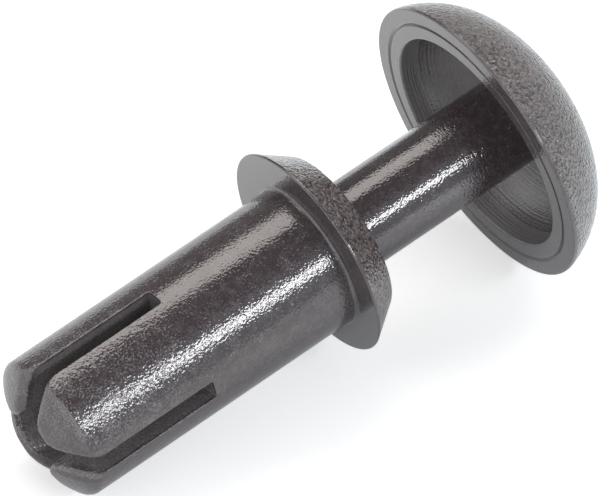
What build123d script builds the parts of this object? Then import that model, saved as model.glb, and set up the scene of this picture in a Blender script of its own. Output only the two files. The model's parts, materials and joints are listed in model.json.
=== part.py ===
from build123d import *
import os
from math import asin, atan, cos, degrees, hypot, pi, radians, sin, tan

# An expanding panel rivet in moulded black nylon, in two mouldings. The expanding sleeve has a
# conical collar and a round body that four slots split into legs. The push pin has a hollow
# domed head on a plain shank. It is drawn as supplied, with the pin part way into the sleeve:
# pressing the pin home spreads the legs behind the panel and brings the head down over the collar.
#
# Millimetres and degrees. Each piece is drawn about the rivet's axis, with the collar's panel
# face at height 0 and the head upwards, and is then laid down as a loose rivet lies.

# Sleeve: body and legs
body_diameter = 3.95        # enters a 4 mm panel hole
body_length = 8.87          # panel face to the ends of the legs
nose_angle = 26.3           # mean slope of the legs' ends away from a square cut
nose_bulge = 0.08           # how far that slope is rounded out past a straight cone
slot_width = 0.55
slot_length = 4.39          # from the ends of the legs
slot_corner_radius = 0.08
slot_roll = -5.2            # turn of the first slot about the axis from straight up
leg_end_radius = 0.28       # rounding of the rim of each leg's end
leg_corner_radius = 0.3     # rounding where a slot meets the bore between the legs

# Sleeve: collar
collar_diameter = 5.9
collar_top_diameter = 4.52
collar_height = 0.97
collar_top_radius = 0.15
collar_edge_chamfer = 0.03
collar_root_radius = 0.1    # between the panel face and the body

# Sleeve: bore
pin_clearance = 0.03        # on the radius, round the shank
mouth_chamfer = 0.05
spread_start = 0.08         # from the slots' roof up to where the bore starts to narrow
spread_length = 2.0         # axial length of the narrowing
leg_bore_diameter = 1.4     # between the legs, past the narrowing

# Pin: shank
pin_diameter = 2.4
pin_tip_clear = 1.5         # from the pin's tip down to the narrowing, as supplied
pin_tip_chamfer = 0.3
pin_root_radius = 0.15      # between the shank and the head's hollow

# Pin: head
head_diameter = 8.0
head_stand_off = 5.42       # panel face to the head's rim, as supplied
dome_height = 2.37          # rim to crown
dome_centre_drop = 0.89     # the dome curve's centre, below the rim
dome_power = 2.33           # 2 is an ellipse, and more is squarer
dome_points = 9
rim_land = 0.1              # upright edge between the rim and the dome
rim_edge_chamfer = 0.05
rim_ring_width = 0.42       # the flat outer ring
rim_groove_width = 0.1      # between the outer and the inner ring
rim_groove_depth = 0.06     # at its inner side, where it ends in a wall
cavity_diameter = 6.16      # at its mouth, which clears the collar
cavity_edge_chamfer = 0.04
cavity_wall_height = 0.43   # straight part of the cavity's wall
cavity_wall_draft = 0.04
cavity_depth = 1.72         # rim to the root of the shank
cavity_fullness = 0.62      # 0 is a straight cone and 1 the fullest bowl

# Worked out
body_radius = body_diameter / 2
collar_radius = collar_diameter / 2
collar_top_edge = collar_top_diameter / 2
pin_radius = pin_diameter / 2
bore_radius = pin_radius + pin_clearance
leg_bore = leg_bore_diameter / 2
spread_depth = body_length - slot_length - spread_start
pin_tip_depth = spread_depth - pin_tip_clear
head_radius = head_diameter / 2
cavity_radius = cavity_diameter / 2
crease_depth = body_length - (body_radius - leg_bore) * tan(radians(nose_angle))
lying_tilt = degrees(atan((head_radius - body_radius) / (head_stand_off + crease_depth)))


def turned(*profile):
    """A solid of revolution about the axis, from the edges of a closed half section."""
    return revolve(Plane.XZ * make_face(Curve() + list(profile)), Axis.Z)


def ring_edges(solid, radius, height):
    """The edges of a solid that are circles of this radius about the axis, at this height."""
    circles = solid.edges().filter_by(GeomType.CIRCLE)
    return circles.filter_by(lambda e: hypot(e.radius - radius, e.arc_center.Z - height) < 1e-4)


def sleeve_blank():
    """The sleeve before its slots: collar, body, rounded nose and narrowing bore."""
    slope = radians(nose_angle)
    crease, point = (body_radius, -crease_depth), (leg_bore, -body_length)
    crown = ((crease[0] + point[0]) / 2 + nose_bulge * sin(slope),
             (crease[1] + point[1]) / 2 - nose_bulge * cos(slope))
    blank = turned(
        Polyline(point, (leg_bore, -spread_depth - spread_length), (bore_radius, -spread_depth),
                 (bore_radius, collar_height - mouth_chamfer),
                 (bore_radius + mouth_chamfer, collar_height),
                 (collar_top_edge, collar_height), (collar_radius, 0), (body_radius, 0), crease),
        ThreePointArc(crease, crown, point),
    )
    blank = fillet(ring_edges(blank, collar_top_edge, collar_height), collar_top_radius)
    blank = chamfer(ring_edges(blank, collar_radius, 0), collar_edge_chamfer)
    return fillet(ring_edges(blank, body_radius, 0), collar_root_radius)


def slot_cutter(turn):
    """One slot right across the legs: a bar with rounded inner corners, turned about the axis."""
    top = slot_length - body_length
    bottom = -body_length - slot_width
    bar = Rectangle(slot_width, top - bottom)
    bar = fillet(bar.vertices().group_by(Axis.Y)[-1], slot_corner_radius)
    bar = Plane.YZ * Pos(0, (top + bottom) / 2) * bar
    return Rot(Z=turn) * extrude(bar, body_diameter, both=True)


def is_leg_corner(edge):
    """True for the straight edges where a slot meets the bore between the legs."""
    middle = edge.center()
    reaches_end = edge.bounding_box().min.Z < -crease_depth
    return reaches_end and hypot(middle.X, middle.Y) < leg_bore + 0.01


def is_leg_rim(edge):
    """True for the edges of a leg's sloped end, apart from the crease where it meets the body."""
    box = edge.bounding_box()
    return box.max.Z < -crease_depth + 0.01 and box.min.Z < -crease_depth - 0.01


def expanding_sleeve():
    """The slotted sleeve, with the inner corners and the end of each leg rounded."""
    sleeve = sleeve_blank() - slot_cutter(slot_roll) - slot_cutter(slot_roll + 90)
    corners = sleeve.edges().filter_by(Axis.Z).filter_by(is_leg_corner)
    sleeve = fillet(corners, leg_corner_radius)
    return fillet(sleeve.edges().filter_by(is_leg_rim), leg_end_radius)


def dome_curve():
    """The dome's half outline, land to crown: a superellipse whose centre is below the rim.

    A point at the angle t has its radius at half_width * cos(t) ** (2 / dome_power), and its
    height over the centre at half_height * sin(t) ** (2 / dome_power).
    """
    centre = head_stand_off - dome_centre_drop
    half_height = dome_height + dome_centre_drop
    low = (dome_centre_drop + rim_land) / half_height
    half_width = head_radius / (1 - low ** dome_power) ** (1 / dome_power)
    first = asin(low ** (dome_power / 2))
    points = [(head_radius, head_stand_off + rim_land)]
    for i in range(1, dome_points - 1):
        angle = first + (pi / 2 - first) * i / (dome_points - 1)
        out = half_width * cos(angle) ** (2 / dome_power)
        points.append((out, centre + half_height * sin(angle) ** (2 / dome_power)))
    points.append((0, head_stand_off + dome_height))
    return Spline(points, tangents=[(0, 1), (-1, 0)], tangent_scalars=[0.5, 1])


def bowl_curve(root, lip):
    """The hollow's floor, from the shank's root to the wall: a parabola between cone and corner."""
    middle = ((root[0] + lip[0]) / 2, (root[1] + lip[1]) / 2)
    corner = (lip[0], root[1])
    pull = tuple(m + cavity_fullness * (c - m) for m, c in zip(middle, corner))
    return Bezier(root, pull, lip)


def push_pin():
    """The pin: a chamfered shank, and a domed head that is hollow round it."""
    rim, tip = head_stand_off, -pin_tip_depth
    ring_edge = head_radius - rim_ring_width
    groove_wall = ring_edge - rim_groove_width
    root = (pin_radius, rim + cavity_depth)
    lip = (cavity_radius - cavity_wall_draft, rim + cavity_wall_height)
    pin = turned(
        Polyline((0, rim + dome_height), (0, tip), (pin_radius - pin_tip_chamfer, tip),
                 (pin_radius, tip + pin_tip_chamfer), root),
        bowl_curve(root, lip),
        Polyline(lip, (cavity_radius, rim), (groove_wall, rim),
                 (groove_wall, rim + rim_groove_depth), (ring_edge, rim),
                 (head_radius, rim), (head_radius, rim + rim_land)),
        dome_curve(),
    )
    pin = chamfer(ring_edges(pin, head_radius, rim), rim_edge_chamfer)
    pin = chamfer(ring_edges(pin, cavity_radius, rim), cavity_edge_chamfer)
    return fillet(ring_edges(pin, pin_radius, rim + cavity_depth), pin_root_radius)


def laid_down(pieces):
    """The pieces on their side at height 0, resting on the head's rim and the legs' ends.

    The axis points along +X and rises to the head by lying_tilt. The whole rivet's box is
    centred over the origin.
    """
    along = Vector(cos(radians(lying_tilt)), 0, sin(radians(lying_tilt)))
    upwards = Vector(-along.Z, 0, along.X)
    lying = Plane(origin=(0, 0, 0), x_dir=upwards, z_dir=along).location
    whole = Compound(children=[piece.moved(lying) for piece in pieces.values()])
    box = whole.bounding_box()
    middle = box.center()
    place = Pos(-middle.X, -middle.Y, -box.min.Z) * lying
    return {name: place * piece for name, piece in pieces.items()}


pieces = laid_down({"expanding_sleeve": expanding_sleeve(), "push_pin": push_pin()})
os.makedirs("parts", exist_ok=True)
for name, piece in pieces.items():
    piece.label = name
    export_step(piece, f"parts/{name}.step")
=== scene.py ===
# %% [markdown]
# # An expanding rivet in black nylon
#
# The rivet is two mouldings. A sleeve has a conical collar and a round body that four slots split
# into legs, and a pin has a hollow domed head on a plain shank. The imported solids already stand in
# their place and at their real size, so they are loaded first, and everything below is built round
# them. Blender works in metres here, and the rivet is drawn in millimetres, so one number turns one
# into the other.

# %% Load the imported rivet
import json
from math import degrees, pi, radians, tan

import bpy
import bmesh
import numpy as np
from mathutils import Matrix, Vector


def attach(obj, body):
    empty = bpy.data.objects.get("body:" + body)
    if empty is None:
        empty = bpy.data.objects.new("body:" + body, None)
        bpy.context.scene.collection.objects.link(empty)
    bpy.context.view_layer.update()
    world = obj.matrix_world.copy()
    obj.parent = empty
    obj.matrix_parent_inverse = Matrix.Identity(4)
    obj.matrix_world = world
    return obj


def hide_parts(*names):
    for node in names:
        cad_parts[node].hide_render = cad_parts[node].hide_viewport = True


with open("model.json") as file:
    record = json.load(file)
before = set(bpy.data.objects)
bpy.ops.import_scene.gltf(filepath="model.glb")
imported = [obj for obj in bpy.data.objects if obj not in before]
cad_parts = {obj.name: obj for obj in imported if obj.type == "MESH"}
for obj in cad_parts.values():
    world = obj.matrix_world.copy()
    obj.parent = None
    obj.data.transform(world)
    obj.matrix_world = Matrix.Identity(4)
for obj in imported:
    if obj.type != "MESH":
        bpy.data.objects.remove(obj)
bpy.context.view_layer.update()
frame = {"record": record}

MM = 0.001

# %% [markdown]
# ## Where the rivet lies
#
# Everything on the rivet turns about one line, its axis. The rivet lies on its head's rim and on the
# ends of its legs, so that line climbs towards the head. It is read from the record that came with
# the solids, not measured again: the record's mount "body" is the straight part of the body, and the
# collar's panel face is where heights are counted from.

# %% The rivet's own axis
collar_root_radius = 0.1
body_mount = next(m for m in frame["record"]["mounts"] if m["name"] == "body")
along = -np.array(body_mount["axis"])
up = np.array([-along[2], 0, along[0]])
side = np.cross(along, up)
straight = body_mount["dims"]["length_mm"]
panel_centre = np.array(body_mount["pos_m"]) / MM + along * (collar_root_radius + straight / 2)


def place(radius, angle, height):
    """Points given about the rivet's axis, as points of the scene in metres.

    The point is the panel face's centre, plus the height along the axis, plus the radius times
    cos(angle) of the upward direction and sin(angle) of the sideways one.
    """
    upwards = np.multiply.outer(radius * np.cos(angle), up)
    sideways = np.multiply.outer(radius * np.sin(angle), side)
    climbing = np.multiply.outer(height * np.ones_like(angle), along)
    return (panel_centre + climbing + (upwards + sideways)) * MM


print("panel face centre, mm:", panel_centre.round(4))
print("climb of the axis, degrees:", round(degrees(np.arcsin(along[2])), 2))

# %% [markdown]
# ## The camera
#
# The rivet is seen from half way between level and straight above, through a long lens, so its edges
# stay almost parallel. The camera stands a quarter of a metre off, and the picture is 600 by 496
# pixels. A shifted lens could put the rivet where it sits in the frame, but a small step aside does
# the same and is easier to follow.

# %% Camera
picture_width = 600
pixels_per_mm = 39.51
distance = 257.25
step_left, step_up = 0.2227, 0.1873
toward_camera = Vector((-0.4301, -0.5606, 0.7076)).normalized()
turn = toward_camera.to_track_quat("Z", "Y")
aim = Vector(panel_centre) + turn @ Vector((-step_left, step_up, 0))
stand = Matrix.Translation((aim + toward_camera * distance) * MM)

camera_data = bpy.data.cameras.new("camera")
camera_data.sensor_width = 36
camera_data.lens = pixels_per_mm * distance / picture_width * camera_data.sensor_width
camera_data.clip_start, camera_data.clip_end = 0.01, 10
camera = bpy.data.objects.new("camera", camera_data)
camera.matrix_world = stand @ turn.to_matrix().to_4x4()
bpy.context.scene.collection.objects.link(camera)
bpy.context.scene.camera = camera
bpy.context.scene.view_settings.view_transform = "Standard"
print("lens, mm:", round(camera_data.lens, 1))

# %% [markdown]
# ## Outlines with rounded corners
#
# Most of the rivet is turned: a half outline carried round the axis. A moulded part has no truly
# sharp edge, so each corner of an outline gets a small arc. A Bevel modifier could round the corners
# afterwards, but arcs in the outline have an exact radius and leave the grid even.

# %% Rounded outlines
def rounded(corners, steps=7):
    """An outline through the corners (x, y, radius), with an arc of that radius in each corner.

    An arc touches both runs at radius / tan(half the corner's angle) from the corner. Its points
    are centre + radius * (cos a, sin a), as a goes from one touching point to the other. One more
    point lies just past each end of the arc, so that the flat run beside it stays flat.
    """
    just_past, nearly_straight = 1.15, 0.499 * pi
    corners = np.array(corners, float)
    outline = [corners[0, :2]]
    for before, corner, after in zip(corners[:-2], corners[1:-1], corners[2:]):
        point, radius = corner[:2], corner[2]
        back, on = before[:2] - point, after[:2] - point
        back, on = back / np.hypot(*back), on / np.hypot(*on)
        half = np.arccos(np.clip(back @ on, -1, 1)) / 2
        if radius == 0 or half > nearly_straight:
            outline.append(point)
            continue
        reach = radius / np.tan(half)
        middle = (back + on) / np.hypot(*(back + on))
        centre = point + middle * radius / np.sin(half)
        first, last = point + back * reach - centre, point + on * reach - centre
        sweep = np.arctan2(first[0] * last[1] - first[1] * last[0], first @ last)
        turns = sweep * np.linspace(0, 1, steps)[:, None]
        arc = centre + first * np.cos(turns) + np.array([-first[1], first[0]]) * np.sin(turns)
        outline += [point + back * reach * just_past, *arc, point + on * reach * just_past]
    return np.array(outline + [corners[-1, :2]])


print("a rounded square corner has", len(rounded([(0, 0, 0), (1, 0, 0.1), (1, 1, 0)])), "points")

# %% [markdown]
# ## Spacing
#
# Points stand close together next to a corner and wide apart on a plain run, because smooth shading
# then bends only where the form does. Even spacing would need many more points for the same edge.

# %% Graded spacing and smooth steps
def graded(length, start, end, coarse, growth=1.4):
    """Places from 0 to 1 along a length: each gap is the last one times growth, up to coarse.

    The gaps grow from start at one end and from end at the other, and the middle is shared out.
    """
    most_gaps = 60

    def climb(gap):
        gaps = gap * growth ** np.arange(most_gaps)
        return np.cumsum(gaps[gaps < coarse])

    left, right = climb(start), climb(end)
    rest = length - left[-1] - right[-1]
    middle = left[-1] + np.linspace(0, rest, max(2, int(np.ceil(rest / coarse)) + 1))
    return np.concatenate([[0], left[:-1], middle, length - right[-2::-1], [length]]) / length


def way_along(outline):
    """The way along the outline to each of its points: the sum of the gaps before it."""
    return np.concatenate([[0], np.cumsum(np.hypot(*np.diff(outline, axis=0).T))])


def steps_between(outline, longest):
    """The outline with more points on its long runs, none further apart than the longest gap."""
    lengths = way_along(outline)
    extra = [np.linspace(a, b, int(np.ceil((b - a) / longest)) + 1)[:-1]
             for a, b in zip(lengths[:-1], lengths[1:])]
    places = np.concatenate(extra + [lengths[-1:]])
    return np.stack([np.interp(places, lengths, outline[:, k]) for k in (0, 1)], 1)


def ease(low, high, x):
    """0 below low, 1 above high, and a smooth climb 3 s^2 - 2 s^3 between them."""
    s = np.clip((x - low) / (high - low), 0, 1)
    return s * s * (3 - 2 * s)


print("a graded millimetre:", graded(1, 0.02, 0.02, 0.2).round(3))

# %% [markdown]
# ## From grids to one closed piece
#
# Each surface is worked out as a grid of points. The grids share their borders, so the points that
# fall together are made one, and the piece comes out closed, like the moulding. Numbers that the
# finish needs are kept on the points too. A painted picture could hold them, but would need each
# piece unwrapped. Their names are:
#
# - trace: the way along the outline, in millimetres, which the turning marks follow
# - grained: how pebbled the face is
# - ringed: how plainly the turning marks show
# - dull_and_painted_fill: how dull the face is, and how much a painted pale grey lifts its shade
# - worn: how scuffed the legs are, more and more towards their ends
# - plate: 1 on the faces that rest on the panel, under the collar and the head, which are glossier

# %% Grids to a mesh
finish_names = ("trace", "grained", "ringed", "dull_and_painted_fill", "worn", "plate")


def grid_faces(rows, columns, first=0):
    """Two triangles for each cell of a grid whose points are counted row by row from first."""
    corner = first + (np.arange(rows - 1)[:, None] * columns + np.arange(columns - 1)).ravel()
    return np.concatenate([np.stack([corner, corner + 1, corner + columns + 1], 1),
                           np.stack([corner, corner + columns + 1, corner + columns], 1)])


def joined(grids):
    """The points and triangles of several grids (rows, columns, values), with equal points merged.

    The first three values of a point are its place in millimetres, and the others are carried along.
    Points are equal when their places are, to five decimals. A triangle that loses a corner goes.
    """
    faces, points, count = [], [], 0
    for grid in grids:
        faces.append(grid_faces(*grid.shape[:2], first=count))
        points.append(grid.reshape(-1, grid.shape[2]))
        count += len(points[-1])
    points, faces = np.concatenate(points), np.concatenate(faces)
    _, kept, merged = np.unique(points[:, :3].round(5), axis=0, return_index=True, return_inverse=True)
    faces = merged.ravel()[faces]
    a, b, c = faces.T
    return points[kept], faces[(a != b) & (b != c) & (c != a)]


def piece(name, points, faces, finish):
    """A smooth mesh object from points in metres, with its faces outwards and its finish's numbers."""
    mesh = bpy.data.meshes.new(name)
    mesh.from_pydata(points, [], faces)
    form = bmesh.new()
    form.from_mesh(mesh)
    bmesh.ops.recalc_face_normals(form, faces=form.faces)
    open_edges = sum(not edge.is_manifold for edge in form.edges)
    form.to_mesh(mesh)
    form.free()
    mesh.shade_smooth()
    for key in finish_names:
        attribute = mesh.attributes.new(key, "FLOAT", "POINT")
        attribute.data.foreach_set("value", np.asarray(finish[key], np.float32))
    thing = bpy.data.objects.new(name, mesh)
    bpy.context.scene.collection.objects.link(thing)
    print(name, "has", len(faces), "triangles and", open_edges, "open edges")
    return thing


print("each point carries:", ", ".join(finish_names))

# %% [markdown]
# ## The push pin
#
# The pin is one turned form. Its outline starts at the tip, follows the shank into the head's hollow,
# comes back out over the hollow's wall and the rim, and closes over the dome. The rim is a flat outer
# ring, a shallow groove and an inner ring. The hollow keeps the head's wall even, so that the
# moulding cools without sinking. The dome is a superellipse, a little squarer than an ellipse, and
# the hollow's floor is a parabola between a cone and a corner. Both could be splines through measured
# points, but a formula stays smooth when a size changes.

# %% The pin's sizes
pin_radius, pin_tip, pin_tip_chamfer, pin_root_radius = 1.2, -2.9, 0.3, 0.15
head_radius, rim, dome_height = 4.0, 5.42, 2.37
dome_centre_drop, dome_power, rim_land = 0.89, 2.33, 0.1
rim_ring_width, groove_width, groove_depth = 0.42, 0.1, 0.06
cavity_radius, cavity_wall_height, cavity_wall_draft = 3.08, 0.43, 0.04
cavity_depth, cavity_fullness = 1.72, 0.62


def dome(points):
    """The dome from its land to the crown: (cos t ** (2/p), sin t ** (2/p)) times its half sizes."""
    half_height = dome_height + dome_centre_drop
    low = (dome_centre_drop + rim_land) / half_height
    half_width = head_radius / (1 - low ** dome_power) ** (1 / dome_power)
    t = np.linspace(np.arcsin(low ** (dome_power / 2)), pi / 2, points)
    out = half_width * np.cos(t).clip(0) ** (2 / dome_power)
    return np.stack([out, rim - dome_centre_drop + half_height * np.sin(t) ** (2 / dome_power)], 1)


def hollow(points):
    """The hollow's floor from the shank's root to the wall's lip, pulled towards their corner.

    It is the parabola (1 - t)^2 * root + 2 t (1 - t) * pull + t^2 * lip, as t goes from 0 to 1.
    """
    root = np.array([pin_radius, rim + cavity_depth])
    lip = np.array([cavity_radius - cavity_wall_draft, rim + cavity_wall_height])
    corner = np.array([lip[0], root[1]])
    pull = (root + lip) / 2 + cavity_fullness * (corner - (root + lip) / 2)
    t = np.linspace(0, 1, points)[:, None]
    return (1 - t) ** 2 * root + 2 * t * (1 - t) * pull + t ** 2 * lip


print("the hollow is", cavity_depth, "mm deep under a dome of", dome_height, "mm")

# %% [markdown]
# The outline is put together from the shank, the hollow's floor, the lip with the rim, and the dome.
# The first and last points of the floor are left to the shank and the lip, which round them off.

# %% The pin's outline
tip_edge, tip_shoulder, floor_edge, rim_edge = 0.06, 0.1, 0.02, 0.05
groove_wall_edge, groove_floor_edge, groove_slope_edge = 0.02, 0.01, 0.04
root_points, lip_points, longest_gap = 8, 3, 0.12
ring_edge = head_radius - rim_ring_width
groove_wall = ring_edge - groove_width
floor_curve = hollow(points=45)
shank = rounded([
    (0, pin_tip, 0),
    (pin_radius - pin_tip_chamfer, pin_tip, tip_edge),
    (pin_radius, pin_tip + pin_tip_chamfer, tip_shoulder),
    (*floor_curve[0], pin_root_radius),
    (*floor_curve[root_points], 0)], steps=11)
lip = rounded([
    (*floor_curve[-lip_points], 0),
    (*floor_curve[-1], floor_edge),
    (cavity_radius, rim, rim_edge),
    (groove_wall, rim, groove_wall_edge),
    (groove_wall, rim + groove_depth, groove_floor_edge),
    (ring_edge, rim, groove_slope_edge),
    (head_radius, rim, rim_edge),
    (head_radius, rim + rim_land, 0)])
middle_floor = floor_curve[root_points:-lip_points]
pin_outline = np.concatenate([shank[:-1], middle_floor, lip[:-1], dome(points=70)])
pin_outline = steps_between(pin_outline, longest_gap)
print("the pin's outline has", len(pin_outline), "points")

# %% [markdown]
# A finish starts and ends at a place along the outline. On the sample the dome is pebbled, the hollow
# and the shank next to it keep fine turning marks, and the hollow's steep wall is the dullest. The
# hollow's wall and floor also get a painted pale grey, a painted fill light for their shade. The rim
# is smooth. None of these borders is sharp, so each is eased in over a short way.

# %% The pin's finish
radii, heights = pin_outline.T
trace = way_along(pin_outline)
marks_start, marks_full, shoulder_blend = 4.0, 1.5, 0.05
wall_start, wall_full = 0.55, 0.4
grain_start, grain_full = 0.06, 0.02
marks_on_shank, floor_dullness_and_fill = 0.35, 0.4


def way_to(radius, height):
    """The way along the pin's outline to its point nearest to this radius and height."""
    return trace[np.argmin(np.hypot(radii - radius, heights - height))]


shoulder = way_to(pin_radius, rim + cavity_depth)
mouth = way_to(cavity_radius, rim)
land = way_to(head_radius, rim + rim_land)
before_mouth = trace < mouth
in_hollow = ease(shoulder - shoulder_blend, shoulder + shoulder_blend, trace) * before_mouth
by_the_head = ease(shoulder - marks_start, shoulder - marks_full, trace) * before_mouth
on_wall = ease(mouth - wall_start, mouth - wall_full, trace) * before_mouth
pin_finish = {
    "trace": trace,
    "grained": ease(land - grain_start, land + grain_full, trace),
    "ringed": marks_on_shank * by_the_head + in_hollow,
    # The hollow's dullness also carries a painted pale grey, a painted fill light for the hollow's shade.
    "dull_and_painted_fill": floor_dullness_and_fill * in_hollow + on_wall,
    "worn": np.zeros_like(trace),
    "plate": (trace >= mouth) * (trace < land)}
print("the outline is", round(trace[-1], 2), "mm long, and its dome starts at", round(land, 2), "mm")

# %% [markdown]
# The outline is then carried round the axis. A Screw modifier would do that too, but here the
# outline's numbers go round with it.

# %% The push pin
ring_steps = 288
ring_radii, ring_angles = np.meshgrid(radii, np.linspace(0, 2 * pi, ring_steps + 1), indexing="ij")
pin_places = place(ring_radii, ring_angles, heights[:, None]) / MM
pin_numbers = np.stack([pin_finish[key] for key in finish_names], 1)[:, None]
pin_numbers = np.broadcast_to(pin_numbers, (*ring_radii.shape, len(finish_names)))
pin_points, pin_faces = joined([np.concatenate([pin_places, pin_numbers], -1)])
push_pin = piece("push_pin_skin", pin_points[:, :3] * MM, pin_faces,
                 dict(zip(finish_names, pin_points[:, 3:].T)))

# %% [markdown]
# ## The expanding sleeve
#
# The sleeve's upper part is turned like the pin, but below it four slots cross, so no single outline
# will do. Boolean cuts would leave long thin faces along the slots. So each leg is a block in bent
# coordinates: across from slot to slot, out from the bore to the skin, and down from the slots' roof
# to the end. Its bare sides are grids of that one rule. The legs' ends slope back to the skin, and
# the slope is a little rounded out past a straight cone.

# %% The sleeve's sizes
body_radius, body_length, nose_slope, nose_bulge = 1.975, 8.87, tan(radians(26.3)), 0.08
half_slot, slots_roof, slot_corner, slot_roll = 0.275, -4.48, 0.08, radians(-5.2)
leg_bore, bore_radius, spread_top, spread_length = 0.7, 1.23, -4.4, 2.0
leg_end_radius, leg_corner_radius, crease_radius, fine_radius = 0.28, 0.3, 0.12, 0.03
collar_radius, collar_top_edge, collar_height, mouth_chamfer = 2.95, 2.26, 0.97, 0.05
leg_wall = body_radius - leg_bore
crease = -body_length + leg_wall * nose_slope


def bore(height):
    """The bore's radius at a height: wide above the narrowing, then a straight taper, then narrow."""
    share = np.clip((spread_top - height) / spread_length, 0, 1)
    return bore_radius + (leg_bore - bore_radius) * share


print("the legs' crease is at", round(crease, 3), "mm and their ends at", -body_length)

# %% [markdown]
# The grids start with knife edges. Then every point slides onto the rounded form, which is given as a
# distance: below zero inside the nylon and above zero outside. The form is what several plain solids
# share, and where two of them meet, the edge is rounded by measuring round the corner. A Bevel
# modifier could do it as well, but the edges' radii differ, and some fade where they run out.

# %% The rounded form of the legs
deep_inside, past_the_bore = -9.0, 1.3
corner_fade, crease_fade = 0.6, 0.4


def round_max(a, b, radius):
    """The distance to what two solids share, with the edge between them rounded.

    It is the larger of a and b, but at most -radius, plus the length of (a, b) past -radius.
    """
    beyond = np.hypot(np.maximum(a + radius, 0), np.maximum(b + radius, 0))
    return np.minimum(np.maximum(a, b), -radius) + beyond


def depth_in_slot(x, y, z, turned):
    """How far a point is inside one slot: a bar across the axis with two rounded upper corners."""
    across = np.abs(y * np.cos(turned) - x * np.sin(turned)) - (half_slot - slot_corner)
    over = z - (slots_roof - slot_corner)
    past_corner = np.hypot(np.maximum(across, 0), np.maximum(over, 0))
    return slot_corner - (past_corner + np.minimum(np.maximum(across, over), 0))


def leg_distance(p):
    """The distance from the slotted body's surface, for points (x, y, height) about the axis.

    It is the room between the bore and the outside, less two crossed slots, less what the sloped
    nose cuts off. The nose stands nose_bulge * 4 s (1 - s) past a cone, as s goes from skin to bore.
    """
    x, y, z = p.T
    r = np.hypot(x, y)
    solid = np.full_like(z, deep_inside)
    for turned in (slot_roll, slot_roll + pi / 2):
        solid = np.maximum(solid, depth_in_slot(x, y, z, turned))
    inner_radius = np.interp(z, [slots_roof - corner_fade, slots_roof], [leg_corner_radius, fine_radius])
    solid = round_max(solid, bore(z) - r, inner_radius)
    inward = np.clip((body_radius - r) / leg_wall, 0, past_the_bore)
    nose = (crease - z - (body_radius - r) * nose_slope) * np.cos(np.arctan(nose_slope))
    solid = round_max(solid, nose - nose_bulge * 4 * inward * (1 - inward), leg_end_radius)
    skin_radius = np.interp(z, [crease, crease + crease_fade], [crease_radius, fine_radius])
    return round_max(solid, r - body_radius, skin_radius)


def slid_on(p, distance, tries=6):
    """The points after sliding along the distance's slope until the distance is zero.

    Each try moves a point against the slope, by the distance over the slope's squared length.
    """
    step, gentlest = 1e-4, 0.25
    for _ in range(tries):
        slope = np.stack([(distance(p + step * e) - distance(p - step * e)) / (2 * step)
                          for e in np.eye(3)], 1)
        size = np.maximum((slope ** 2).sum(1), gentlest)
        p = p - (distance(p) / size)[:, None] * slope
    return p


print("distance inside a leg, mm:", leg_distance(np.array([[0.9, 0.9, -6.0]])).round(2))

# %% [markdown]
# A slot's wall is flat, so its angle about the axis changes with the radius: it lies at the slot's
# middle plus arcsin(half the slot / radius). A leg's columns share out what is left between two
# such walls, and a slot's columns share out the slot. The same columns run on over the collar,
# which is why the upper part joins the legs point for point.

# %% Columns and rows
leg_width, leg_drop = 2.55, 3.795
edge_gap, slot_gap, bore_gap = 0.006, 0.01, 0.03
leg_share = 2 * graded(leg_width, edge_gap, edge_gap, 0.075) - 1
slot_share = 2 * graded(2 * half_slot, slot_gap, slot_gap, 0.05) - 1
outward = graded(leg_wall, bore_gap, edge_gap, 0.09)
downward = graded(leg_drop, edge_gap, edge_gap, 0.2)


def slot_angle(number, share, radius):
    """The angle of a slot's column: the slot's middle, plus arcsin(half the slot * share / radius)."""
    return slot_roll + number * pi / 2 + np.arcsin(half_slot * share / radius)


def leg_angle(number, share, radius):
    """The angle of a leg's column: the leg's middle, plus its share of the way to the slot's wall."""
    middle = slot_roll + pi / 4 + number * pi / 2
    return middle + share * (pi / 4 - np.arcsin(half_slot / radius))


def leg_block(number, share, out, down):
    """A leg's points: across by share, -1 to 1; from bore to skin by out; from roof to end by down.

    The inner edge runs down the bore, and the outer edge down the skin to the crease. Between
    them the radius and the height change in step, so the last row lies on the sloped nose.
    """
    share, out, down = np.broadcast_arrays(share, out, down)
    inner_height = slots_roof + down * (-body_length - slots_roof)
    outer_height = slots_roof + down * (crease - slots_roof)
    radius = bore(inner_height) + (body_radius - bore(inner_height)) * out
    height = inner_height + (outer_height - inner_height) * out
    angle = leg_angle(number, share, radius)
    return np.stack([radius * np.cos(angle), radius * np.sin(angle), height], -1)


def slot_roof_points(number, share, out):
    """The roof of a slot, from the bore to the skin, between the two legs beside it."""
    share, out = np.broadcast_arrays(share, out)
    radius = bore(slots_roof) + (body_radius - bore(slots_roof)) * out
    angle = slot_angle(number, share, radius)
    height = np.full_like(radius, slots_roof)
    return np.stack([radius * np.cos(angle), radius * np.sin(angle), height], -1)


print("a leg has", len(leg_share), "columns and", len(downward), "rows")

# %% [markdown]
# The outline of the upper part starts at the slots' roof, goes up the bore and over the collar, and
# comes back down the body's skin. Its two end runs are graded to meet the legs' fine rows.

# %% The collar's outline
mouth_edge, collar_top_radius, collar_edge = 0.02, 0.15, 0.04
corners = rounded([
    (bore(slots_roof), slots_roof, 0),
    (bore_radius, spread_top, 0),
    (bore_radius, collar_height - mouth_chamfer, mouth_edge),
    (bore_radius + mouth_chamfer, collar_height, mouth_edge),
    (collar_top_edge, collar_height, collar_top_radius),
    (collar_radius, 0, collar_edge),
    (body_radius, 0, collar_root_radius),
    (body_radius, slots_roof, 0)], steps=9)
first_steps = np.array([0, 0.08, 0.2, 0.4, 0.7])[:, None]
last_drop = corners[-1] - corners[-2]
last_steps = graded(np.hypot(*last_drop), 0.1, edge_gap, 0.15)[1:, None]
collar_outline = np.concatenate([
    corners[0] + (corners[1] - corners[0]) * first_steps,
    steps_between(corners[1:-1], 0.15),
    corners[-2] + last_drop * last_steps])
print("the collar's outline has", len(collar_outline), "points")

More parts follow.
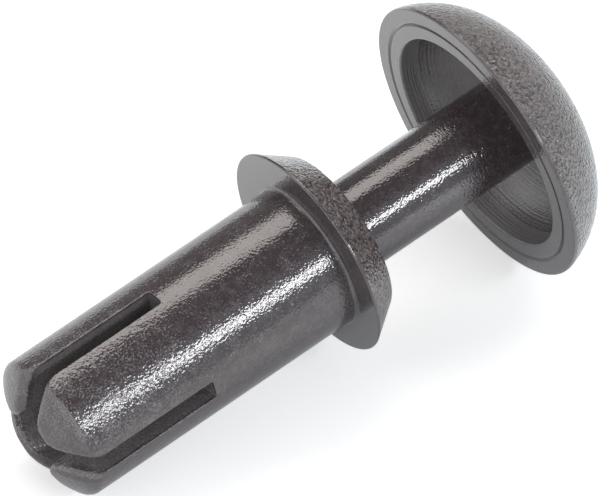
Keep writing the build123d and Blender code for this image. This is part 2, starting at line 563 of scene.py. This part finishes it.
# %% [markdown]
# The upper part is one grid: the collar's outline, carried round on the columns of all the slots and
# legs. Each leg adds five grids for its bare sides, and one more is the roof of the slot beside it.

# %% The sleeve's grids
radii, heights = collar_outline[:, :1], collar_outline[:, 1:]
columns = []
for number in range(4):
    columns.append(slot_angle(number, slot_share[:-1], radii))
    columns.append(leg_angle(number, leg_share[:-1], radii))
columns.append(columns[0][:, :1] + 2 * pi)
angles = np.concatenate(columns, 1)
upper = [radii * np.cos(angles), radii * np.sin(angles), np.broadcast_to(heights, angles.shape)]
trace = way_along(collar_outline)
upper.append(np.broadcast_to(trace[:, None], angles.shape))
grids = [np.stack(upper, -1)]

across, inner_out, outer_out, rows = leg_share[None], outward[None], outward[:, None], downward[:, None]
for number in range(4):
    sides = [leg_block(number, across, 1, rows), leg_block(number, across, 0, rows),
             leg_block(number, -1, inner_out, rows), leg_block(number, 1, inner_out, rows),
             leg_block(number, across, outer_out, 1),
             slot_roof_points(number, slot_share[None], outer_out)]
    grids += [np.concatenate([grid, np.full((*grid.shape[:2], 1), trace[-1])], -1) for grid in sides]
sleeve_points, sleeve_faces = joined(grids)
print("the sleeve's grids join into", len(sleeve_points), "points")

# %% [markdown]
# Only the points from a little above the slots' roof down to the legs' ends slide onto the rounded
# form. Above them the outline has its own arcs already.

# %% The sleeve's rounded legs
roof_margin = 0.35
local = sleeve_points[:, :3]
slotted = local[:, 2] < slots_roof + roof_margin
local[slotted] = slid_on(local[slotted], leg_distance)
x, y, height = local.T
radius = np.hypot(x, y)
print(np.count_nonzero(slotted), "points slid onto the legs' rounded form")

# %% [markdown]
# On the sample the collar sits 0.08 mm off the body's axis, as when a mould's two halves are a hair
# out of line. The whole collar could be moved, but that would move the bore too. So the slip is eased
# in with the radius, further out on the panel face than on the collar's top, and the body and the
# bore stay true.

# %% The collar's slip
collar_slip, slip_turn = 0.08, radians(-53.7)
start_on_panel_face, start_drop, drop_height, slip_blend = 2.05, 0.75, 0.5, 0.5
slip_start = start_on_panel_face - start_drop * ease(0, drop_height, height)
slip = collar_slip * ease(slip_start, slip_start + slip_blend, radius) * (height > -0.05)
slipped_x = x + slip * np.cos(slip_turn)
slipped_y = y + slip * np.sin(slip_turn)
print("the collar slips by up to", round(float(slip.max()), 3), "mm")

# %% [markdown]
# The collar's cone is grained, but far less than the dome. The walls of the slots and of the bore are
# dull, and painted a pale grey that stands in for light in their shade, a painted fill light. The legs
# look more scuffed towards their ends. The collar's panel face is smooth.

# %% The expanding sleeve
grain_of_cone, wall_dullness_and_fill = 0.28, 0.65
nose_height = crease - (body_radius - radius) * nose_slope
off_the_skin = ease(0.02, 0.12, body_radius - radius)
below_the_collar = ease(0.0, -0.3, height)
off_the_nose = ease(0.1, 0.4, height - nose_height)
sleeve_finish = {
    "trace": sleeve_points[:, 3],
    "grained": grain_of_cone * (ease(0.03, 0.1, height) * ease(1.5, 1.6, radius)),
    "ringed": np.zeros_like(height),
    # The walls' dullness also carries a painted pale grey, a painted fill light for the slots' and bore's
    # shade.
    "dull_and_painted_fill": wall_dullness_and_fill * (off_the_skin * below_the_collar * off_the_nose),
    "worn": ease(2.5, 7.0, -height),
    "plate": ease(2.0, 2.1, radius) * (height < 0.02)}
sleeve_places = place(np.hypot(slipped_x, slipped_y), np.arctan2(slipped_y, slipped_x), height)
sleeve = piece("expanding_sleeve_skin", sleeve_places, sleeve_faces, sleeve_finish)

# %% [markdown]
# ## A short way to write shader maths
#
# A finish is worked out by a chain of small nodes. Written out node by node, a sum takes four
# lines, so one small class wraps a node's output and lets plain Python signs add the Math nodes.
# Every other node comes from one method.

# %% Shader maths
class Wire:
    """A number, colour or vector that flows out of a node. Python's signs add Math nodes to it."""

    def __init__(self, paint, socket):
        self.paint, self.socket = paint, socket

    def _math(self, operation, first, second):
        return self.paint.node("ShaderNodeMath", {"operation": operation}, {0: first, 1: second})

    def __add__(self, other):
        return self._math("ADD", self, other)

    def __sub__(self, other):
        return self._math("SUBTRACT", self, other)

    def __rsub__(self, other):
        return self._math("SUBTRACT", other, self)

    def __mul__(self, other):
        return self._math("MULTIPLY", self, other)

    __radd__, __rmul__ = __add__, __mul__


class Paint:
    """The node tree of a material or of the world."""

    def __init__(self, owner):
        owner.use_nodes = True
        self.owner, self.tree = owner, owner.node_tree
        self.tree.nodes.clear()

    def node(self, kind, settings=None, sockets=None, out=0):
        """Adds a node. Its settings are set first, then its sockets get values or wires."""
        made = self.tree.nodes.new(kind)
        for key, value in (settings or {}).items():
            setattr(made, key, value)
        for key, value in (sockets or {}).items():
            if isinstance(value, Wire):
                self.tree.links.new(value.socket, made.inputs[key])
            else:
                made.inputs[key].default_value = value
        return Wire(self, made.outputs[out]) if len(made.outputs) else made

    def noise(self, where, scale, detail, roughness=0.5):
        """Soft noise from 0 to 1, with scale bumps to the millimetre."""
        return self.node("ShaderNodeTexNoise", None, {
            "Vector": where, "Scale": scale / MM, "Detail": detail, "Roughness": roughness})

    def rings(self, trace, scale):
        """Noise along the outline only, which draws rings round the axis, scale to the millimetre."""
        return self.node("ShaderNodeTexNoise", {"noise_dimensions": "1D"}, {
            "W": trace, "Scale": scale, "Detail": 2.0})

    def ramp(self, value, low, high, to_low=0.0, to_high=1.0):
        """A smooth step of the value from to_low at low to to_high at high."""
        return self.node("ShaderNodeMapRange", {"interpolation_type": "SMOOTHSTEP"}, {
            "Value": value, "From Min": low, "From Max": high, "To Min": to_low, "To Max": to_high})

    def mix(self, factor, first, second):
        """A colour between two colours."""
        return self.node("ShaderNodeMix", {"data_type": "RGBA"}, {0: factor, 6: first, 7: second}, out=2)

    def part(self, vector, axis):
        """One of the three numbers X, Y and Z of a vector."""
        return self.node("ShaderNodeSeparateXYZ", None, {0: vector}, out=axis)


print("shader helpers are ready")

# %% [markdown]
# ## Black nylon: how uneven it is
#
# Smooth moulded nylon is glossy but never flat: a fine unevenness breaks a lamp's reflection into
# sparks, and on the scuffed legs the sparks are coarser. The dome and the collar's cone have a pebbled
# grain, and the hollow has turning marks. All of it is far too fine for the mesh, so it is a bump. A
# real displacement would cost millions of points for the same look.

# %% The nylon's unevenness
fine_depth, scuff_depth, pit_depth, wave_depth = 0.008, 0.016, 0.0015, 0.005
mark_depth, grain_depth = 0.009, 0.12
fine_scale, wave_scale, pit_scale, mark_scale, pebble_scale = 16, 1.6, 9, 14, 11


def unevenness(paint, where, finish, pebbles):
    """The bump's normal, from a height that adds the smooth faces, the rings and the grain.

    The smooth faces' height is fine noise, pebbles where worn, shallow pits and broad waves. Depths
    are in millimetres, and scales in bumps to the millimetre.
    """
    fine, broad = paint.noise(where, fine_scale, 1), paint.noise(where, wave_scale, 2)
    cells = paint.node("ShaderNodeTexVoronoi", None, {
        "Vector": where, "Scale": pit_scale / MM}, out="Distance")
    pits = paint.ramp(cells, 0.1, 0.4, -1.0, 0.0)
    smooth = fine * fine_depth + pebbles * finish["worn"] * scuff_depth
    smooth = smooth + pits * pit_depth + broad * wave_depth
    marks = finish["ringed"] * paint.rings(finish["trace"], mark_scale) * mark_depth
    grain = finish["grained"] * pebbles * grain_depth
    height = (1 - finish["grained"]) * smooth + marks + grain
    return paint.node("ShaderNodeBump", None, {"Height": height, "Distance": MM, "Strength": 1.0},
                      out="Normal")


print("the grain is up to", grain_depth, "mm deep and the turning marks", mark_depth, "mm")

# %% [markdown]
# ## Black nylon: its colour
#
# The nylon is nearly black with a little brown in it, so it is a mottle of two blacks. Pale specks of
# dust lie on what faces up, and more towards the legs' ends. The tops of the grain are paler than its
# valleys. The dull walls and the hollow get a painted pale grey, a painted fill light for their shade.
# A picture could carry all this, but noise needs no unwrapping and never repeats.

# %% The nylon's colours
black, brown = (0.041, 0.03, 0.034, 1), (0.072, 0.058, 0.061, 1)
# The last grey is painted fill light, which lightens the shade on the walls of the slots, the bore and the
# hollow.
dust_grey, grain_grey, painted_fill_grey = (0.15, 0.138, 0.143, 1), (0.145, 0.124, 0.122, 1), (0.2, 0.186, 0.19, 1)


def dust(paint, where, worn, dusted):
    """Specks of dust from 0 to 1: noise past a limit, in drifts, and fainter off skyward faces."""
    skyward = paint.part(paint.node("ShaderNodeTexCoord", out="Normal"), "Z")
    drift = paint.noise(where, 22, 2, 0.6) + paint.noise(where, 1.8, 4, 0.65) * 0.5 + worn * 0.07
    return paint.ramp(drift, 0.87 - dusted, 1.02 - dusted) * paint.ramp(skyward, -0.1, 0.6, 0.2, 1.0)


def nylon_colour(paint, where, finish, pebbles, specks):
    """Black mottled with brown, then dust over it, then the grain's tops, then painted fill on dull walls.
    """
    tops = paint.ramp(finish["grained"], 0.0, 0.3) * paint.ramp(pebbles, 0.36, 0.66)
    colour = paint.mix(paint.ramp(paint.noise(where, 5, 4, 0.75), 0.42, 0.7), black, brown)
    colour = paint.mix(specks, colour, dust_grey)
    colour = paint.mix(tops, colour, grain_grey)
    # Painted fill light: the shade on the dull walls is lightened with a pale grey.
    return paint.mix(finish["dull_and_painted_fill"] * 0.8, colour, painted_fill_grey)


print("the two blacks:", black[:3], brown[:3])

# %% [markdown]
# ## Black nylon: the finished material
#
# Both pieces are the same nylon, so one recipe serves both, and the numbers on their points tell it
# where it is. The sleeve gets a little more dust than the pin. The faces that rest on the panel get a
# thin coat, which adds gloss without a second material. The refractive index of 1.8 is above nylon's
# own of about 1.53, and makes every reflection stronger.

# %% The nylon
coat, coat_roughness, refractive_index = 0.5, 0.05, 1.8
plain_rough, worn_rough, dust_rough = 0.07, 0.02, 0.22
grain_rough, marks_rough, walls_rough = 0.12, 0.04, 0.25


def nylon(name, dusted):
    """Moulded black nylon. Its roughness is the plain faces', plus a share for each finish."""
    paint = Paint(bpy.data.materials.new(name))
    where = paint.node("ShaderNodeTexCoord", out="Object")
    finish = {key: paint.node("ShaderNodeAttribute", {"attribute_name": key}, out="Fac")
              for key in finish_names}
    pebbles = paint.noise(where, pebble_scale, 1)
    specks = dust(paint, where, finish["worn"], dusted)
    rough = plain_rough + finish["worn"] * worn_rough + specks * dust_rough
    rough = rough + finish["grained"] * grain_rough
    rough = rough + finish["ringed"] * marks_rough + finish["dull_and_painted_fill"] * walls_rough
    shader = paint.node("ShaderNodeBsdfPrincipled", None, {
        "Base Color": nylon_colour(paint, where, finish, pebbles, specks),
        "Roughness": rough,
        "IOR": refractive_index,
        "Normal": unevenness(paint, where, finish, pebbles),
        "Coat Weight": finish["plate"] * coat,
        "Coat Roughness": coat_roughness})
    paint.node("ShaderNodeOutputMaterial", None, {"Surface": shader})
    return paint.owner


sleeve_dust, pin_dust = 0.045, 0.0
for thing, body, node, dusted in ((sleeve, "sleeve", "expanding_sleeve", sleeve_dust),
                                  (push_pin, "pin", "push_pin", pin_dust)):
    thing.data.materials.append(nylon(node + "_nylon", dusted))
    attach(thing, body)
    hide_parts(node)
print("two pieces wear the nylon")

# %% [markdown]
# ## The floor
#
# The rivet lies on a pale table, and one flat sheet stands for it. To the camera the table glows a
# little, so that it comes out white and still keeps the rivet's shadow. More light would whiten it
# too, but would grey the nylon.

# %% Floor
floor_mesh = bpy.data.meshes.new("floor")
reach = 1.2
floor_corners = [(-reach, -reach, 0), (reach, -reach, 0), (reach, reach, 0), (-reach, reach, 0)]
floor_mesh.from_pydata(floor_corners, [], [(0, 1, 2, 3)])
floor = bpy.data.objects.new("floor", floor_mesh)
bpy.context.scene.collection.objects.link(floor)
print("the floor is", 2 * reach, "m wide")

# %% [markdown]
# In reflections the table glows too, in a cool white: weakly under the rivet, more on both sides of
# it, and most past its head. A bigger lamp could light the nylon's lower faces instead, but would
# wash out the shadow. The glow's level goes into its colour, below one strongest level.

# %% The floor's glow
table = Paint(bpy.data.materials.new("pale_table"))
seen, mirrored, through = (table.node("ShaderNodeLightPath", out=ray)
                           for ray in ("Is Camera Ray", "Is Glossy Ray", "Is Transmission Ray"))
ground = table.node("ShaderNodeTexCoord", out="Object")
to_the_side = table.node("ShaderNodeMath", {"operation": "ABSOLUTE"}, {0: table.part(ground, "Y")})
to_the_head = table.part(ground, "X")
beside = table.ramp(to_the_side, 2 * MM, 7 * MM, 0.09, 0.33)
beside = beside * table.ramp(to_the_side, 8 * MM, 23 * MM, 1.0, 0.0)
past_head = table.ramp(to_the_head, 7 * MM, 9 * MM, 0.0, 0.8)
past_head = past_head * table.ramp(to_the_head, 12 * MM, 24 * MM, 1.0, 0.2)
glow_seen, strongest = 0.45, 1.25
glow_level = (seen + through) * glow_seen + mirrored * (beside + past_head)

no_light, white, cool_white = (0, 0, 0, 1), (1, 1, 1, 1), (0.8, 0.93, 1, 1)
tone = table.mix(mirrored, white, cool_white)
glow_colour = table.mix(glow_level * (1 / strongest), no_light, tone)
pale = table.node("ShaderNodeBsdfDiffuse", None, {"Color": (0.8, 0.8, 0.8, 1)})
glow = table.node("ShaderNodeEmission", None, {"Color": glow_colour, "Strength": strongest})
surface = table.node("ShaderNodeAddShader", None, {0: pale, 1: glow})
table.node("ShaderNodeOutputMaterial", None, {"Surface": surface})
floor_mesh.materials.append(table.owner)
print("the floor's material has", len(table.tree.nodes), "nodes")

# %% [markdown]
# ## The room
#
# Black nylon shows little but what it mirrors, so the room matters as much as the lamps. It is dimmer
# overhead than near the horizon, and nearly dark low down in its far right corner. Its left side is
# bright, for the faces under the head and the collar. A patch high up on the far right is for the
# dome, and a cool haze in front is for the near flank. A photographed room could be wrapped round
# instead, but soft steps of the direction are easy to move one by one.

# %% World
world = bpy.data.worlds.new("studio")
bpy.context.scene.world = world
room = Paint(world)
direction = room.node("ShaderNodeTexCoord", out="Generated")
rightward, backward, climb = (room.part(direction, axis) for axis in "XYZ")

haze = room.ramp(backward, -0.47, -0.57) * room.ramp(climb, -0.05, 0.25, 0.4, 1.0)
dark_corner = room.ramp(rightward, 0.5, 0.75) * room.ramp(climb, 0.45, 0.25)
dark_corner = dark_corner * room.ramp(backward, -0.3, 0.0)
air_level = room.ramp(climb, 0.35, 0.75, 0.28, 0.14) * (1 - dark_corner * 0.8)
left_side = room.ramp(rightward, -0.35, -0.6, 0.0, 1.2)
high_patch = room.ramp(rightward, 0.5, 0.65, 0.0, 2.4) * room.ramp(climb, 0.4, 0.6)
high_patch = high_patch * room.ramp(backward, -0.35, 0.05)
haze_strength, haze_colour = 0.45, (0.88, 0.95, 1, 1)
level = haze * haze_strength + air_level + left_side + high_patch

tint = room.mix(haze, white, haze_colour)
air = room.node("ShaderNodeBackground", None, {"Color": tint, "Strength": level})
room.node("ShaderNodeOutputWorld", None, {"Surface": air})
print("the room has", len(room.tree.nodes), "nodes")

# %% [markdown]
# ## The lamps
#
# Two lamps show as lines along the body. A narrow strip lamp in front draws the thin white one, and a
# soft box over the far side draws the broad warm one. Both are flat area lamps, because a rectangle's
# reflection has straight edges, which a bare bulb's lacks. Their watts are kept at a level at which a
# colour renders about as it is written.

# %% Lamps
lamp_distance = 0.5


def lamp(name, toward, width, height, watts, colour):
    """A rectangular lamp in a direction from the rivet, facing it. Its width lies level."""
    data = bpy.data.lights.new(name, "AREA")
    data.shape, data.size, data.size_y = "RECTANGLE", width, height
    data.energy, data.color = watts, colour
    thing = bpy.data.objects.new(name, data)
    toward = Vector(toward).normalized()
    spot = Matrix.Translation(Vector(panel_centre) * MM + toward * lamp_distance)
    thing.matrix_world = spot @ toward.to_track_quat("Z", "Y").to_matrix().to_4x4()
    bpy.context.scene.collection.objects.link(thing)
    return thing


lamps = [lamp("strip_lamp", (0.246, -0.805, 0.539), 0.3, 0.075, 1.0, (0.97, 0.98, 1)),
         lamp("soft_box", (0.201, 0.497, 0.844), 0.5, 0.26, 1.31, (1, 0.95, 0.895))]
print("lamps:", [thing.name for thing in lamps])
